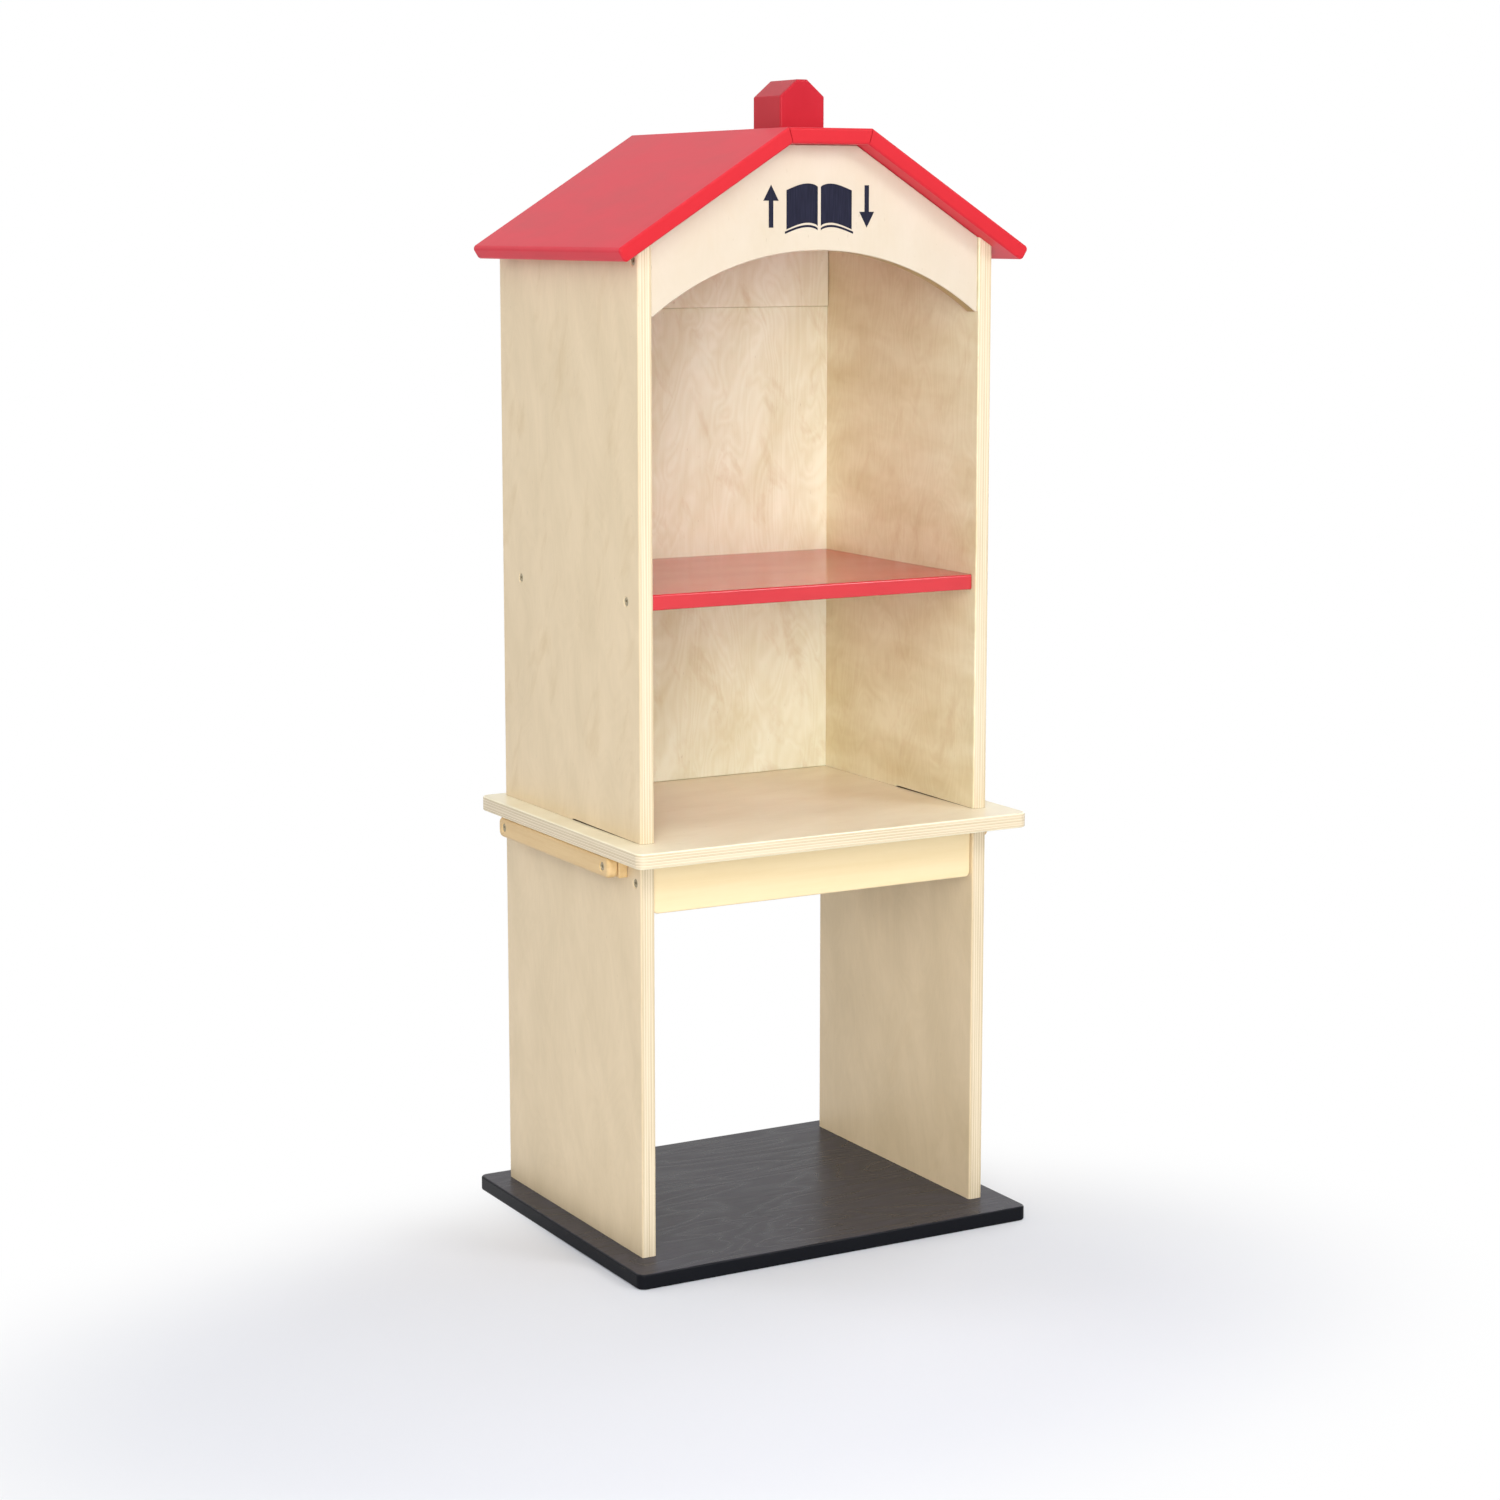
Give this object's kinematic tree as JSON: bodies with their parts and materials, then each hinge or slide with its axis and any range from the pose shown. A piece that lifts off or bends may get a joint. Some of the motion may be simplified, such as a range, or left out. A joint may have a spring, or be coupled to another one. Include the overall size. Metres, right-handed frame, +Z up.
{
  "type": "street book exchange box",
  "caption": "Free-standing wooden book exchange: an open, gabled case with a shelf above a counter, on two side panels and a base board.",
  "frame": {"origin": "on the floor, under the middle of the base board", "axes": "+Z up, -Y out of the open front, +X to the right seen from the front"},
  "size_m": [0.5362, 0.442, 1.3631],
  "materials": {
    "birch_ply": "satin clear lacquer",
    "lacquered_ply": "gloss clear lacquer",
    "solid_birch": "satin clear lacquer",
    "red_painted_ply": "semi-gloss red paint",
    "red_painted_wood": "semi-gloss red paint",
    "black_stained_ply": "black stain under clear lacquer",
    "dowel_beech": "raw beech",
    "screw_steel": "bright zinc"
  },
  "bodies": {
    "root": {"base_board": "black_stained_ply", "lower_side_left": "birch_ply", "lower_side_right": "birch_ply", "front_apron": "solid_birch", "rear_apron": "solid_birch", "counter": "lacquered_ply", "side_rail_left": "solid_birch", "side_rail_right": "solid_birch", "rail_spacer_left_front": "solid_birch", "rail_spacer_left_rear": "solid_birch", "rail_spacer_right_front": "solid_birch", "rail_spacer_right_rear": "solid_birch", "upper_side_left": "birch_ply", "upper_side_right": "birch_ply", "back_panel": "birch_ply", "rear_gable": "birch_ply", "front_fascia": "birch_ply", "shelf": "red_painted_ply", "roof_left": "red_painted_ply", "roof_top": "red_painted_ply", "roof_right": "red_painted_ply", "chimney": "red_painted_wood", "base_screw_left_front": "screw_steel", "base_screw_left_rear": "screw_steel", "base_screw_right_front": "screw_steel", "base_screw_right_rear": "screw_steel", "counter_screw_left_front": "screw_steel", "counter_screw_left_rear": "screw_steel", "counter_screw_right_front": "screw_steel", "counter_screw_right_rear": "screw_steel", "apron_screw_left_front": "screw_steel", "apron_screw_left_rear": "screw_steel", "apron_screw_right_front": "screw_steel", "apron_screw_right_rear": "screw_steel", "rail_screw_left_front": "screw_steel", "rail_screw_left_rear": "screw_steel", "rail_screw_right_front": "screw_steel", "rail_screw_right_rear": "screw_steel", "shelf_screw_left_front": "screw_steel", "shelf_screw_left_rear": "screw_steel", "shelf_screw_right_front": "screw_steel", "shelf_screw_right_rear": "screw_steel", "fascia_screw_left": "screw_steel", "fascia_screw_right": "screw_steel", "chimney_screw": "screw_steel", "side_dowel_left_front": "dowel_beech", "side_dowel_left_rear": "dowel_beech", "side_dowel_right_front": "dowel_beech", "side_dowel_right_rear": "dowel_beech", "gable_dowel_left_low": "dowel_beech", "gable_dowel_left_high": "dowel_beech", "gable_dowel_right_low": "dowel_beech", "gable_dowel_right_high": "dowel_beech", "roof_dowel_left_front": "dowel_beech", "roof_dowel_left_rear": "dowel_beech", "roof_dowel_right_front": "dowel_beech", "roof_dowel_right_rear": "dowel_beech", "roof_dowel_top_front": "dowel_beech", "roof_dowel_top_rear": "dowel_beech"}
  },
  "joints": []
}
